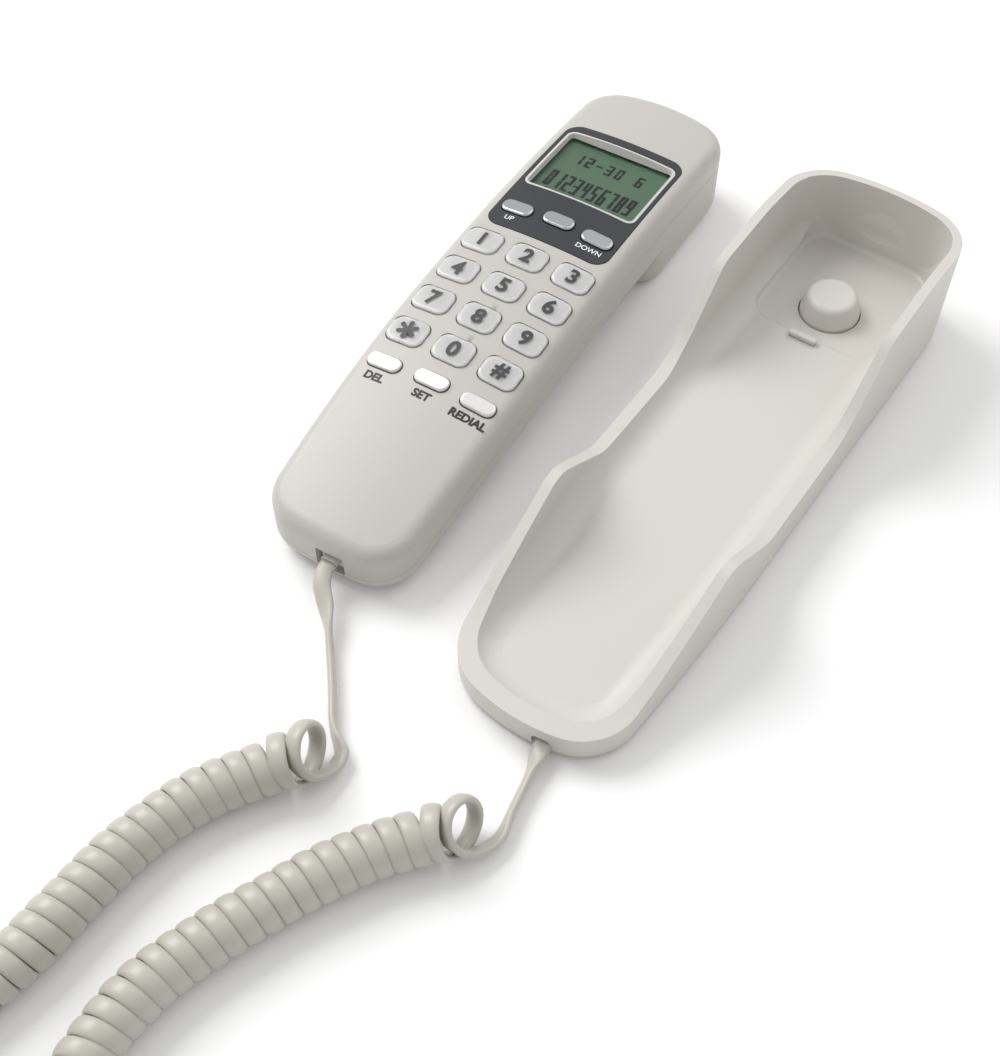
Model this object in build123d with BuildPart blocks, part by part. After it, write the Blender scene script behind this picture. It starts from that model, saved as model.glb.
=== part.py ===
"""Corded landline phone: a slim arched handset lying beside its cradle, joined by a curly cord.

Millimetres. The origin is on the desk under the middle of the cradle, +Y runs to the cradle's
head end and +Z is up. The handset has its own plane: U to its right, V to its head, with its
origin on the desk under the "2" key.
"""

import os
from math import cos, pi, radians, sin, sqrt, tan

from build123d import *

# ---------------------------------------------------------------- driving dimensions, cradle
CRADLE_LENGTH = 211.0
CRADLE_WIDTH = 58.6
CRADLE_WALL = 2.7
FOOT_TAPER = 3.2
WALL_LEAN = 1.2
CRADLE_TOP = 46.0
SEAM_HEIGHT = 3.0
END_CROWN = 6.0
PLATE_BOTTOM = 1.0
POCKET_FLOOR = 12.5
CHANNEL_FLOOR = 12.6
FLOOR_THICKNESS = 2.2
POCKET_WIDTH = 42.6
POCKET_FRONT = 55.0
PLUNGER_Y = 70.0
PLUNGER_RADIUS = 9.4
PLUNGER_TRAVEL = 3.0
HOLE_CLEARANCE = 0.4
TAB_X = -1.0
TAB_Y = 53.6
CORD_EXIT_X = 8.5
CRADLE_HALF = CRADLE_LENGTH / 2
SIDE = CRADLE_WIDTH / 2

# ---------------------------------------------------------------- driving dimensions, handset
HANDSET_X = -79.9
HANDSET_Y = 17.7
HANDSET_YAW = 3.7
ARCH_RADIUS = 590.0
ARCH_APEX_V = 15.5
ARCH_TOP = 32.5
CROWN_RADIUS = 180.0
UNDER_RADIUS = 640.0
UNDER_APEX_V = 5.0
UNDER_TOP = 10.9
HEAD_V = 95.0
FOOT_V = -112.0
HEAD_HALF = 25.9
FOOT_HALF = 23.2
SHELL = 2.2
SEAM_DEPTH = 9.5
SEAM_RADIUS = 500.0
UNDER_FILLET = 5.0
EAR_FRONT = 35.0
EAR_BACK = 92.5
KEY_PITCH_U = 16.0
KEY_PITCH_V = 14.05
KEY_SIZE = (12.4, 9.6)
KEY_PROUD = 1.1
KEY_DEPTH = 3.2
KEY_GAP = 0.3
PANEL_HALF = 21.3
PANEL_V = (8.6, 65.8)
SCREEN_V = 46.4
SCREEN_SIZE = (37.2, 29.2)
NAV_SIZE = (10.6, 5.4)
FUNCTION_SIZE = (11.2, 5.2)
BOARD_TOP = 20.4

# ---------------------------------------------------------------- driving dimensions, cord
LEAD_RADIUS = 1.85
COIL_RADIUS = 7.2
COIL_HEIGHT = COIL_RADIUS + 0.15

handset_plane = Plane(
    origin=(HANDSET_X, HANDSET_Y, 0),
    x_dir=(cos(radians(HANDSET_YAW)), sin(radians(HANDSET_YAW)), 0),
    z_dir=(0, 0, 1),
)


def save(piece, name):
    """Name a finished piece and write its STEP file."""
    piece.part.label = name
    export_step(piece.part, f"parts/{name}.step")


os.makedirs("parts", exist_ok=True)


# ================================================================ cradle
def cradle_outline(inset):
    """Plan of the cradle: sides that draw in towards the foot, crowned ends, large corners."""
    half = SIDE - inset
    end = CRADLE_HALF - inset
    foot = half - FOOT_TAPER
    middle = half - FOOT_TAPER / 4
    with BuildSketch(Plane.XY) as outline:
        with BuildLine():
            ThreePointArc((foot, -end + END_CROWN), (middle, -59.7), (half, -20))
            Line((half, -20), (half, end - END_CROWN))
            ThreePointArc((half, end - END_CROWN), (0, end), (-half, end - END_CROWN))
            Line((-half, end - END_CROWN), (-half, -20))
            ThreePointArc((-half, -20), (-middle, -59.7), (-foot, -end + END_CROWN))
            ThreePointArc((-foot, -end + END_CROWN), (0, -end), (foot, -end + END_CROWN))
        make_face()
        fillet(outline.vertices().sort_by(Axis.Y)[:2], radius=18 - inset)
        fillet(outline.vertices().sort_by(Axis.Y)[-2:], radius=18 - inset)
    return outline.sketch


def below_rim():
    """Everything under the cradle's rim line: low foot tip, high ends, low middle for fingers."""
    with BuildPart() as region:
        with BuildSketch(Plane.YZ.offset(-SIDE - 5)):
            with BuildLine():
                FilletPolyline(
                    (-CRADLE_HALF - 5, 10.0),
                    (-88, 11.5),
                    (-45, 30.5),
                    (-23, 17.0),
                    (20, 17.4),
                    (44, 39.4),
                    (72, 40.6),
                    (CRADLE_HALF + 5, 36.0),
                    radius=[50, 9, 14, 26, 9, 60],
                )
                Polyline(
                    (CRADLE_HALF + 5, 36.0),
                    (CRADLE_HALF + 5, -1),
                    (-CRADLE_HALF - 5, -1),
                    (-CRADLE_HALF - 5, 10.0),
                )
            make_face()
        extrude(amount=CRADLE_WIDTH + 10)
    return region.part


def channel_space():
    """The trough that takes the handset: arched floor, leaning walls, wide concave corners."""
    with BuildPart() as trough:
        with BuildSketch(Plane.XY.offset(CRADLE_TOP + 6)):
            add(cradle_outline(CRADLE_WALL))
        extrude(amount=-(CRADLE_TOP + 6), taper=WALL_LEAN)
        with BuildSketch(Plane.YZ.offset(-SIDE - 5)):
            with BuildLine():
                ThreePointArc(
                    (-CRADLE_HALF - 6, 6.4),
                    (-20, 11.9),
                    (CRADLE_HALF + 6, CHANNEL_FLOOR),
                )
                Polyline(
                    (CRADLE_HALF + 6, CHANNEL_FLOOR),
                    (CRADLE_HALF + 6, -2),
                    (-CRADLE_HALF - 6, -2),
                    (-CRADLE_HALF - 6, 6.4),
                )
            make_face()
        extrude(amount=CRADLE_WIDTH + 10, mode=Mode.SUBTRACT)
        floor_edges = trough.faces().sort_by(Axis.Z)[0].edges()
        fillet(floor_edges, radius=8.0)
    return trough.part


with BuildPart() as pocket_space:
    with BuildSketch(Plane.XY.offset(POCKET_FLOOR)):
        with Locations((0, (POCKET_FRONT + 100.6) / 2)):
            RectangleRounded(POCKET_WIDTH, 100.6 - POCKET_FRONT, 8.0)
    extrude(amount=CRADLE_TOP - POCKET_FLOOR, taper=-8)
    fillet(pocket_space.faces().sort_by(Axis.Z)[0].edges(), radius=1.6)
    with BuildSketch(Plane.XY):
        add(cradle_outline(CRADLE_WALL))
    extrude(amount=CRADLE_TOP + 5, mode=Mode.INTERSECT)

with BuildPart() as under_space:
    with BuildSketch(Plane.XY.offset(SEAM_HEIGHT - 1)):
        add(cradle_outline(CRADLE_WALL - 0.2))
    extrude(amount=20)
    with BuildSketch(Plane.YZ.offset(-SIDE)):
        Polygon(
            (-CRADLE_HALF, 0),
            (-CRADLE_HALF, 4.6),
            (-70, 7.6),
            (-40, 9.4),
            (0, POCKET_FLOOR - FLOOR_THICKNESS),
            (CRADLE_HALF, POCKET_FLOOR - FLOOR_THICKNESS),
            (CRADLE_HALF, 0),
            align=None,
        )
    extrude(amount=CRADLE_WIDTH, mode=Mode.INTERSECT)

CRADLE_SCREWS = [(-20, -38), (20, -38), (-19, 86), (19, 86)]
LINE_JACK_X = -7.5
LINE_JACK_Y = CRADLE_HALF - 6.0
LINE_JACK_SIZE = (13.0, 14.0, 8.8)
CORD_JACK_Y = (-30.0, -16.0)
BOSS_RADIUS = 3.2
PILOT_RADIUS = 1.05
GROOVE_Z = 4.1
GROOVE_SIZE = (5.4, 4.2)

with BuildPart() as cradle_shell:
    with BuildSketch(Plane.XY.offset(SEAM_HEIGHT)):
        add(cradle_outline(0))
    extrude(amount=CRADLE_TOP - SEAM_HEIGHT)
    add(below_rim(), mode=Mode.INTERSECT)
    add(channel_space(), mode=Mode.SUBTRACT)
    add(pocket_space.part, mode=Mode.SUBTRACT)
    add(under_space.part, mode=Mode.SUBTRACT)
    with BuildSketch(Plane.XY.offset(SEAM_HEIGHT + 1.4)):
        with Locations(*CRADLE_SCREWS):
            Circle(BOSS_RADIUS)
    extrude(amount=6.6)
    with BuildSketch(Plane.XY.offset(SEAM_HEIGHT + 1.4)):
        with Locations(*CRADLE_SCREWS):
            Circle(PILOT_RADIUS)
    extrude(amount=4.5, mode=Mode.SUBTRACT)
    with BuildSketch(Plane.XY.offset(5)):
        with Locations((0, PLUNGER_Y)):
            Circle(PLUNGER_RADIUS + HOLE_CLEARANCE)
    extrude(amount=12, mode=Mode.SUBTRACT)
    with BuildSketch(Plane.XY.offset(5)):
        with Locations((TAB_X, TAB_Y)):
            Rectangle(8.4, 1.8)
    extrude(amount=12, mode=Mode.SUBTRACT)
    with BuildSketch(Plane.XZ.offset(CRADLE_HALF + 2)):
        with Locations((CORD_EXIT_X, GROOVE_Z)):
            RectangleRounded(GROOVE_SIZE[0], GROOVE_SIZE[1], 1.6)
    extrude(amount=-(CRADLE_HALF + 2 + CORD_JACK_Y[0]), mode=Mode.SUBTRACT)
    with BuildSketch(Plane.XZ.offset(-CRADLE_HALF - 2)):
        with Locations((LINE_JACK_X, 5.9)):
            Rectangle(LINE_JACK_SIZE[0] - 1.2, LINE_JACK_SIZE[2] - 1.4)
    extrude(amount=8, mode=Mode.SUBTRACT)
save(cradle_shell, "cradle_shell")

PLATE_INSET = 0.5
KEYHOLE_SPACING = 101.6
KEYHOLES_Y = (-KEYHOLE_SPACING / 2, KEYHOLE_SPACING / 2)
FEET = [(-20, -84), (20, -84), (-20, 76), (20, 76)]
FOOT_RADIUS = 5.0

with BuildPart() as base_plate:
    with BuildSketch(Plane.XY.offset(PLATE_BOTTOM)):
        add(cradle_outline(PLATE_INSET))
    extrude(amount=SEAM_HEIGHT - PLATE_BOTTOM)
    with BuildSketch(Plane.XY.offset(SEAM_HEIGHT)):
        add(cradle_outline(CRADLE_WALL + 0.1))
        offset(amount=-1.4, mode=Mode.SUBTRACT)
    extrude(amount=1.2)
    with BuildSketch(Plane.XY.offset(SEAM_HEIGHT)):
        with Locations(*CRADLE_SCREWS):
            Circle(BOSS_RADIUS + 0.6)
    extrude(amount=1.3)
    with BuildSketch(Plane.XY.offset(PLATE_BOTTOM)):
        with Locations(*CRADLE_SCREWS):
            Circle(1.6)
    extrude(amount=4, mode=Mode.SUBTRACT)
    with BuildSketch(Plane.XY.offset(PLATE_BOTTOM)):
        with Locations(*CRADLE_SCREWS):
            Circle(2.8)
    extrude(amount=1.6, mode=Mode.SUBTRACT)
    with BuildSketch(Plane.XY.offset(PLATE_BOTTOM)):
        with Locations(*FEET):
            Circle(FOOT_RADIUS + 0.1)
        Rectangle(30.2, 12.2)
    extrude(amount=0.6, mode=Mode.SUBTRACT)
    with BuildSketch(Plane.XY):
        for keyhole_y in KEYHOLES_Y:
            with Locations((0, keyhole_y)):
                Circle(4.2)
            with Locations((0, keyhole_y + 5.5)):
                SlotOverall(13.0, 4.2, rotation=90)
    extrude(amount=4, mode=Mode.SUBTRACT)
    with BuildSketch(Plane.XY.offset(SEAM_HEIGHT - 0.2)):
        with Locations((LINE_JACK_X, CRADLE_HALF)):
            Rectangle(LINE_JACK_SIZE[0] + 0.4, 40)
    extrude(amount=3, mode=Mode.SUBTRACT)
    with BuildSketch(Plane.XY.offset(2.2)):
        with Locations((LINE_JACK_X, CRADLE_HALF)):
            Rectangle(10.6, 20)
    extrude(amount=3, mode=Mode.SUBTRACT)
    with BuildSketch(Plane.XY):
        with Locations((LINE_JACK_X, LINE_JACK_Y - LINE_JACK_SIZE[1] / 2)):
            Rectangle(LINE_JACK_SIZE[0] + 0.4, LINE_JACK_SIZE[1] + 0.4)
        with Locations((CORD_EXIT_X, CORD_JACK_Y[0] + 3.3)):
            Rectangle(11.0, 22.2)
        with Locations((CORD_EXIT_X, -CRADLE_HALF + 30)):
            Rectangle(GROOVE_SIZE[0], 110)
    extrude(amount=5, mode=Mode.SUBTRACT)
save(base_plate, "base_plate")

with BuildPart() as rubber_feet:
    with BuildSketch(Plane.XY):
        with Locations(*FEET):
            Circle(FOOT_RADIUS)
    extrude(amount=PLATE_BOTTOM + 0.6)
    fillet(rubber_feet.faces().filter_by(Axis.Z).group_by(Axis.Z)[0].edges(), radius=0.4)
save(rubber_feet, "rubber_feet")

with BuildPart() as centre_pad:
    with BuildSketch(Plane.XY):
        RectangleRounded(30, 12, 3)
    extrude(amount=PLATE_BOTTOM + 0.6)
save(centre_pad, "centre_pad")


def screw(head_radius, head_height, shank_radius, length):
    """Pan-head screw pointing up, its head's underside at z = head_height, with a cross slot."""
    with BuildPart() as body:
        with BuildSketch(Plane.XY):
            Circle(head_radius)
        extrude(amount=head_height)
        fillet(body.edges().group_by(Axis.Z)[0], radius=head_height * 0.45)
        with BuildSketch(Plane.XY.offset(head_height)):
            Circle(shank_radius)
        extrude(amount=length)
        with BuildSketch(Plane.XY):
            Rectangle(head_radius, 0.5)
            Rectangle(0.5, head_radius)
        extrude(amount=head_height * 0.55, mode=Mode.SUBTRACT)
    return body.part


cradle_screw = screw(2.5, 1.4, 1.0, 5.6)
with BuildPart() as base_screws:
    for screw_x, screw_y in CRADLE_SCREWS:
        add(cradle_screw.moved(Location((screw_x, screw_y, PLATE_BOTTOM + 0.2))))
save(base_screws, "base_screws")

# ---------------------------------------------------------------- hook plunger and its switch
FLANGE_TOP = POCKET_FLOOR - FLOOR_THICKNESS - 0.15
with BuildPart() as hook_plunger:
    with BuildSketch(Plane.XY.offset(FLANGE_TOP - 1.0)):
        with Locations((0, PLUNGER_Y)):
            Circle(PLUNGER_RADIUS + 1.8)
    extrude(amount=1.0)
    with BuildSketch(Plane.XY.offset(FLANGE_TOP)):
        with Locations((0, PLUNGER_Y)):
            Circle(PLUNGER_RADIUS)
    extrude(amount=3.4)
    with BuildSketch(Plane.XY.offset(FLANGE_TOP + 3.4)):
        with Locations((0, PLUNGER_Y)):
            Circle(PLUNGER_RADIUS)
    extrude(amount=6.4, taper=15)
    fillet(hook_plunger.edges().group_by(Axis.Z)[-1], radius=2.4)
    with BuildSketch(Plane.XY.offset(FLANGE_TOP - 1.0)):
        with Locations((0, PLUNGER_Y)):
            Circle(7.6)
            Circle(1.8, mode=Mode.SUBTRACT)
    extrude(amount=7.6, mode=Mode.SUBTRACT)
    with BuildSketch(Plane.XY.offset(FLANGE_TOP - 1.2)):
        with Locations((0, PLUNGER_Y)):
            Circle(2.6)
    extrude(amount=0.6, mode=Mode.SUBTRACT)
save(hook_plunger, "hook_plunger")

SPRING_RADIUS = 5.2
SPRING_WIRE = 0.35
SPRING_BOTTOM = SEAM_HEIGHT + 0.05
SPRING_TOP = 16.6
with BuildPart() as hook_spring:
    spring_height = SPRING_TOP - SPRING_BOTTOM - 2 * SPRING_WIRE
    with BuildLine() as spring_path:
        Helix(
            pitch=spring_height / 5,
            height=spring_height,
            radius=SPRING_RADIUS,
            center=(0, PLUNGER_Y, SPRING_BOTTOM + SPRING_WIRE),
        )
    with BuildSketch(Plane(spring_path.line @ 0, z_dir=spring_path.line % 0)):
        Circle(SPRING_WIRE)
    sweep(path=spring_path.line)
save(hook_spring, "hook_spring")

with BuildPart() as hook_switch:
    with BuildSketch(Plane.XY.offset(SEAM_HEIGHT + 0.05)):
        with Locations((0, PLUNGER_Y)):
            RectangleRounded(6.2, 6.2, 0.6)
    extrude(amount=2.6)
    with BuildSketch(Plane.XY.offset(SEAM_HEIGHT + 2.65)):
        with Locations((0, PLUNGER_Y)):
            Circle(1.6)
    extrude(amount=0.7)
save(hook_switch, "hook_switch")

with BuildPart() as retaining_tab:
    with BuildSketch(Plane.XY.offset(9.0)):
        with Locations((TAB_X, TAB_Y)):
            Rectangle(8.1, 1.5)
    extrude(amount=5.6)
    with BuildSketch(Plane.XY.offset(14.0)):
        with Locations((TAB_X, TAB_Y)):
            RectangleRounded(9.4, 2.1, 0.7)
    extrude(amount=1.2)
    fillet(retaining_tab.faces().sort_by(Axis.Z)[-1].edges(), radius=0.4)
save(retaining_tab, "retaining_tab")

# ---------------------------------------------------------------- cradle electronics and weight
with BuildPart() as base_board:
    with BuildSketch(Plane.XY.offset(SEAM_HEIGHT + 1.4)):
        with Locations((-12, 25)):
            Rectangle(24, 56)
    extrude(amount=1.4)
    with BuildSketch(Plane.XY.offset(SEAM_HEIGHT + 2.8)):
        with Locations((-17, 8), (-17, 22), (-17, 36)):
            Rectangle(5, 8)
        with Locations((-7, 10), (-7, 34)):
            Circle(2.6)
    extrude(amount=3.2)
save(base_board, "base_board")

with BuildPart() as ringer:
    with BuildSketch(Plane.XY.offset(SEAM_HEIGHT + 0.1)):
        with Locations((15, 34)):
            Circle(9.5)
    extrude(amount=4.4)
    fillet(ringer.faces().sort_by(Axis.Z)[-1].edges(), radius=0.8)
    with BuildSketch(Plane.XY.offset(SEAM_HEIGHT + 3.0)):
        with Locations((15, 34)):
            Circle(1.6)
    extrude(amount=3, mode=Mode.SUBTRACT)
save(ringer, "ringer")

with BuildPart() as ballast_weight:
    with BuildSketch(Plane.XY.offset(SEAM_HEIGHT + 0.1)):
        with Locations((-11.2, -19.5)):
            RectangleRounded(25.4, 26.6, 2)
    extrude(amount=5.2)
save(ballast_weight, "ballast_weight")


def modular_jack(width, depth, height, opening, opening_depth):
    """Socket body with its mouth on the plane y = 0, facing -Y, its bottom on z = 0."""
    with BuildPart() as jack:
        with BuildSketch(Plane.XY):
            with Locations((0, depth / 2)):
                Rectangle(width, depth)
        extrude(amount=height)
        with BuildSketch(Plane.XZ):
            with Locations((0, height / 2 + 0.2)):
                Rectangle(opening[0], opening[1])
            with Locations((0, height / 2 + 0.2 - opening[1] / 2)):
                Rectangle(3.4, 1.4)
        extrude(amount=-opening_depth, mode=Mode.SUBTRACT)
    return jack.part


with BuildPart() as line_jack:
    socket = modular_jack(LINE_JACK_SIZE[0], LINE_JACK_SIZE[1], LINE_JACK_SIZE[2], (9.9, 6.8), 12)
    add(socket.moved(Location((LINE_JACK_X, LINE_JACK_Y, 1.35), (0, 0, 180))))
save(line_jack, "line_jack")

JACK_SIZE = (10.4, 14.0, 7.8)
JACK_OPENING = (7.9, 6.4)
PLUG_SIZE = (7.6, 11.4, 6.1)
cord_socket = modular_jack(JACK_SIZE[0], JACK_SIZE[1], JACK_SIZE[2], JACK_OPENING, 11.8)
with BuildPart() as cradle_jack:
    add(cord_socket.moved(Location((CORD_EXIT_X, CORD_JACK_Y[0], 1.25))))
save(cradle_jack, "cradle_jack")


def modular_plug(neck):
    """Four-contact plug, latch lever below, back end on y = 0, tip towards +Y, cord neck behind."""
    with BuildPart() as plug:
        with BuildSketch(Plane.XY.offset(-PLUG_SIZE[2] / 2)):
            with Locations((0, PLUG_SIZE[1] / 2)):
                Rectangle(PLUG_SIZE[0], PLUG_SIZE[1])
        extrude(amount=PLUG_SIZE[2])
        chamfer(plug.faces().sort_by(Axis.Y)[-1].edges(), length=0.4)
        with BuildSketch(Plane.XY.offset(PLUG_SIZE[2] / 2)):
            with Locations((0, PLUG_SIZE[1] - 2.2)):
                with GridLocations(1.27, 0, 4, 1):
                    Rectangle(0.5, 3.2)
        extrude(amount=-0.9, mode=Mode.SUBTRACT)
        with BuildSketch(Plane.XY.offset(-PLUG_SIZE[2] / 2)):
            with Locations((0, 5.0)):
                Rectangle(2.8, 9.0)
        extrude(amount=-0.5)
        if neck:
            with BuildSketch(Plane.XZ):
                RectangleRounded(5.0, 3.2, 1.2)
            extrude(amount=neck)
    return plug.part


with BuildPart() as cradle_plug:
    plug_y = CORD_JACK_Y[0] - 0.4
    plug_z = 1.25 + JACK_SIZE[2] / 2 + 0.2
    add(modular_plug(0).moved(Location((CORD_EXIT_X, plug_y, plug_z))))
save(cradle_plug, "cradle_plug")


# ================================================================ handset
# Handset pieces are drawn in the handset's own plane and placed when they are written.
def save_handset(piece, name):
    """Place a handset piece beside the cradle, name it and write its STEP file."""
    placed = piece.part.moved(handset_plane.location)
    placed.label = name
    export_step(placed, f"parts/{name}.step")


def arch_height(v):
    """Height of the handset's face on its centre line."""
    return ARCH_TOP - ARCH_RADIUS + sqrt(ARCH_RADIUS**2 - (v - ARCH_APEX_V) ** 2)


def face_plane(u, v):
    """Plane that touches the crowned, arched face at (u, v), with Z out of the handset."""
    lean_side = u / CROWN_RADIUS
    lean_along = (v - ARCH_APEX_V) / ARCH_RADIUS
    height = arch_height(v) - CROWN_RADIUS * (1 - cos(lean_side))
    return Plane(
        origin=(u, v, height),
        x_dir=(cos(lean_side), 0, -sin(lean_side)),
        z_dir=(sin(lean_side), sin(lean_along), cos(lean_side) * cos(lean_along)),
    )


arch_axis = Axis((0, ARCH_APEX_V, ARCH_TOP - ARCH_RADIUS), (1, 0, 0))
arch_section = Plane(origin=(0, ARCH_APEX_V, 0), x_dir=(1, 0, 0), z_dir=(0, -1, 0))


def crown_below(depth):
    """Everything under the crowned, arched face, lowered by depth."""
    crown = CROWN_RADIUS - depth
    top = ARCH_TOP - depth
    reach = 30.0
    section = []
    for step in range(-4, 5):
        across = reach * step / 4
        section.append((across, top - crown + sqrt(crown**2 - across**2)))
    with BuildPart() as region:
        with BuildSketch(arch_section):
            with BuildLine():
                Spline(*section)
                Polyline(section[-1], (reach, -45), (-reach, -45), section[0])
            make_face()
        revolve(axis=arch_axis, revolution_arc=30)
    return region.part.rotate(arch_axis, -15)


def below_arch(apex_v, apex_z, arch_radius):
    """Everything under an arch that runs along the handset and is flat across it."""
    reach = 135.0
    low = apex_z - arch_radius + sqrt(arch_radius**2 - reach**2)
    with BuildPart() as region:
        with BuildSketch(Plane.YZ.offset(-35)):
            with BuildLine():
                ThreePointArc((apex_v - reach, low), (apex_v, apex_z), (apex_v + reach, low))
                Polyline(
                    (apex_v + reach, low),
                    (apex_v + reach, -45),
                    (apex_v - reach, -45),
                    (apex_v - reach, low),
                )
            make_face()
        extrude(amount=70)
    return region.part


def handset_outline(inset):
    """Plan of the handset: parallel head half, tapering grip, crowned ends, round corners."""
    head = HEAD_HALF - inset
    foot = FOOT_HALF - inset
    top = HEAD_V - inset
    low = FOOT_V + inset
    with BuildSketch(Plane.XY) as outline:
        with BuildLine():
            Line((head, top - 4.5), (head, -20))
            ThreePointArc((head, -20), (head - 0.68, -65), (foot, low + 2.2))
            ThreePointArc((foot, low + 2.2), (0, low), (-foot, low + 2.2))
            ThreePointArc((-foot, low + 2.2), (-head + 0.68, -65), (-head, -20))
            Line((-head, -20), (-head, top - 4.5))
            ThreePointArc((-head, top - 4.5), (0, top), (head, top - 4.5))
        make_face()
        fillet(outline.vertices().sort_by(Axis.Y)[:2], radius=14 - inset)
        fillet(outline.vertices().sort_by(Axis.Y)[-2:], radius=14 - inset)
    return outline.sketch


def ear_outline(inset):
    """Plan of the ear cup: the head end of the outline, with round front corners."""
    with BuildSketch(Plane.XY) as outline:
        add(handset_outline(inset))
        with Locations((0, EAR_FRONT + inset + 50)):
            Rectangle(80, 100, mode=Mode.INTERSECT)
        fillet(outline.vertices().sort_by(Axis.Y)[:2], radius=9 - inset)
    return outline.sketch


def handset_form(inset):
    """The handset's solid form, drawn in by inset on every side."""
    with BuildPart() as form:
        with BuildSketch(Plane.XY.offset(-5)):
            add(handset_outline(inset))
        extrude(amount=50)
        add(below_arch(UNDER_APEX_V, UNDER_TOP + inset, UNDER_RADIUS), mode=Mode.SUBTRACT)
        add(crown_below(inset), mode=Mode.INTERSECT)
        fillet(form.faces().sort_by(Axis.Z)[-1].edges(), radius=5.0 - inset)
        fillet(form.faces().sort_by(Axis.Z)[0].edges(), radius=UNDER_FILLET - inset)
        with BuildSketch(Plane.XY.offset(inset)):
            add(ear_outline(inset))
        extrude(amount=16 - inset)
        fillet(form.faces().sort_by(Axis.Z)[0].edges(), radius=5.0 - inset)
    return form.part


outer_form = handset_form(0)
inner_form = handset_form(SHELL)
seam_high = below_arch(ARCH_APEX_V, ARCH_TOP - SEAM_DEPTH + 0.06, SEAM_RADIUS)
seam_low = below_arch(ARCH_APEX_V, ARCH_TOP - SEAM_DEPTH - 0.06, SEAM_RADIUS)
# ---------------------------------------------------------------- where the buttons are
KEY_NAMES = ["1", "2", "3", "4", "5", "6", "7", "8", "9", "star", "0", "hash"]
keys = []
for index, key_name in enumerate(KEY_NAMES):
    key_u = (index % 3 - 1) * KEY_PITCH_U
    key_v = -(index // 3) * KEY_PITCH_V
    keys.append(("key_" + key_name, key_u, key_v))
nav_buttons = [("button_up", -14.0, 17.8), ("button_flash", 0.2, 18.9), ("button_down", 14.3, 18.1)]
function_buttons = [
    ("button_del", -15.8, -55.0),
    ("button_set", 0.2, -54.3),
    ("button_redial", 16.2, -54.8),
]
HANDSET_SCREWS = [(0, -76), (-15, 79.5), (15, 79.5)]
HANDSET_JACK_U = 2.6
HANDSET_JACK_Z = 5.15
SPEAKER_V = 60.0
MIC_V = -90.0
BAND_V = (PANEL_V[0] + PANEL_V[1]) / 2
BAND_LENGTH = PANEL_V[1] - PANEL_V[0]


def button_holes(positions, size, gap, radius):
    """Columns through the face where the buttons go."""
    with BuildPart() as columns:
        for hole_name, u, v in positions:
            with BuildSketch(face_plane(u, v).offset(-6)):
                RectangleRounded(size[0] + 2 * gap, size[1] + 2 * gap, radius + gap)
            extrude(amount=12)
    return columns.part


def panel_column(width, length, radius):
    """Upright column over the display panel."""
    with BuildPart() as column:
        with BuildSketch(Plane.XY.offset(15)):
            with Locations((0, BAND_V)):
                RectangleRounded(width, length, radius)
        extrude(amount=25)
    return column.part


screen_plane = face_plane(0, SCREEN_V)
shell_body = outer_form - inner_form

# ---------------------------------------------------------------- handset covers
with BuildPart() as handset_front_cover:
    add(outer_form)
    add(seam_high, mode=Mode.SUBTRACT)
    add(inner_form, mode=Mode.SUBTRACT)
    add(button_holes(function_buttons, FUNCTION_SIZE, KEY_GAP, 2.4), mode=Mode.SUBTRACT)
    add(button_holes(keys, KEY_SIZE, KEY_GAP, 3.0), mode=Mode.SUBTRACT)
    recess = panel_column(2 * PANEL_HALF + 0.4, BAND_LENGTH + 0.4, 5.2) - crown_below(1.3)
    add(recess, mode=Mode.SUBTRACT)
    add(button_holes(nav_buttons, NAV_SIZE, KEY_GAP, 2.4), mode=Mode.SUBTRACT)
    with BuildSketch(screen_plane.offset(-6)):
        RectangleRounded(SCREEN_SIZE[0] + 3.2, SCREEN_SIZE[1] + 3.2, 3)
    extrude(amount=10, mode=Mode.SUBTRACT)
    with BuildSketch(Plane.XZ.offset(-FOOT_V + 4)):
        with Locations((HANDSET_JACK_U, HANDSET_JACK_Z + JACK_SIZE[2] / 2)):
            RectangleRounded(9.4, 7.4, 0.8)
    extrude(amount=-7.5, mode=Mode.SUBTRACT)
    with BuildSketch(Plane.XY.offset(SHELL + 0.3)):
        with Locations(*HANDSET_SCREWS[1:]):
            Circle(3.0)
            Circle(PILOT_RADIUS, mode=Mode.SUBTRACT)
    extrude(amount=24.3)
    with BuildSketch(Plane.XY.offset(8.0)):
        with Locations(HANDSET_SCREWS[0]):
            Circle(3.0)
            Circle(PILOT_RADIUS, mode=Mode.SUBTRACT)
    extrude(amount=16)
save_handset(handset_front_cover, "handset_front_cover")

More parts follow.
